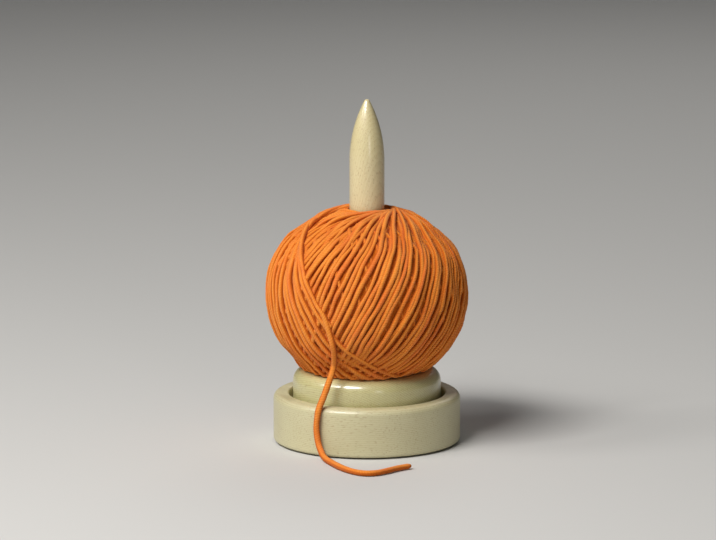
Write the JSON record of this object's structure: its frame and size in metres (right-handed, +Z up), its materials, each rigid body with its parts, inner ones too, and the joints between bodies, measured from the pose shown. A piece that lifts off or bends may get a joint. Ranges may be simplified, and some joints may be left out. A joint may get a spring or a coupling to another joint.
{
  "type": "yarn ball unwinder",
  "caption": "Turned beech wool unwinder: a cup base with a ball-bearing turntable and a bullet-nosed spindle that carries a ball of yarn whose free end pays out in front.",
  "frame": {"origin": "on the floor, at the centre of the base's underside, on the turning axis", "axes": "+Z up along the spindle, -Y towards the front where the free end of yarn lies, +X to the right seen from the front"},
  "size_m": [0.129, 0.1728, 0.2215],
  "materials": {
    "beech_base": "satin clear lacquer",
    "beech_turntable": "satin clear lacquer",
    "beech_spindle": "satin clear lacquer",
    "felt": "pressed felt",
    "bearing_steel": "ground",
    "shield_steel": "pressed",
    "cage_nylon": "moulded",
    "zinc_steel": "zinc plated",
    "insert_brass": "turned",
    "orange_yarn": "soft wool yarn"
  },
  "bodies": {
    "base_unit": {"base": "beech_base", "felt_pad_1": "felt", "felt_pad_2": "felt", "felt_pad_3": "felt", "felt_pad_4": "felt", "bearing_outer_ring": "bearing_steel", "bearing_lower_shield": "shield_steel", "bearing_upper_shield": "shield_steel"},
    "turning_unit": {"turntable": "beech_turntable", "spindle": "beech_spindle", "threaded_insert": "insert_brass", "axle_bolt": "zinc_steel", "bolt_washer": "zinc_steel", "spacer_ring": "zinc_steel", "bearing_inner_ring": "bearing_steel"},
    "cage_unit": {"bearing_cage": "cage_nylon", "bearing_ball_1": "bearing_steel", "bearing_ball_2": "bearing_steel", "bearing_ball_3": "bearing_steel", "bearing_ball_4": "bearing_steel", "bearing_ball_5": "bearing_steel", "bearing_ball_6": "bearing_steel", "bearing_ball_7": "bearing_steel"},
    "yarn_unit": {"yarn_ball": "orange_yarn", "yarn_tail": "orange_yarn"}
  },
  "joints": [
    {"name": "turntable_spin", "type": "hinge", "parent": "base_unit", "child": "turning_unit", "pos_m": [0, 0, 0], "axis": [0, 0, 1], "continuous": true},
    {"name": "cage_spin", "type": "hinge", "parent": "base_unit", "child": "cage_unit", "pos_m": [0, 0, 0], "axis": [0, 0, 1], "continuous": true},
    {"name": "yarn_lift", "type": "slide", "parent": "turning_unit", "child": "yarn_unit", "axis": [0, 0, 1], "range_m": [0, 0.18]}
  ],
  "couplings": [
    {"joint": "cage_spin", "follows": "turntable_spin", "ratio": 0.3677}
  ]
}
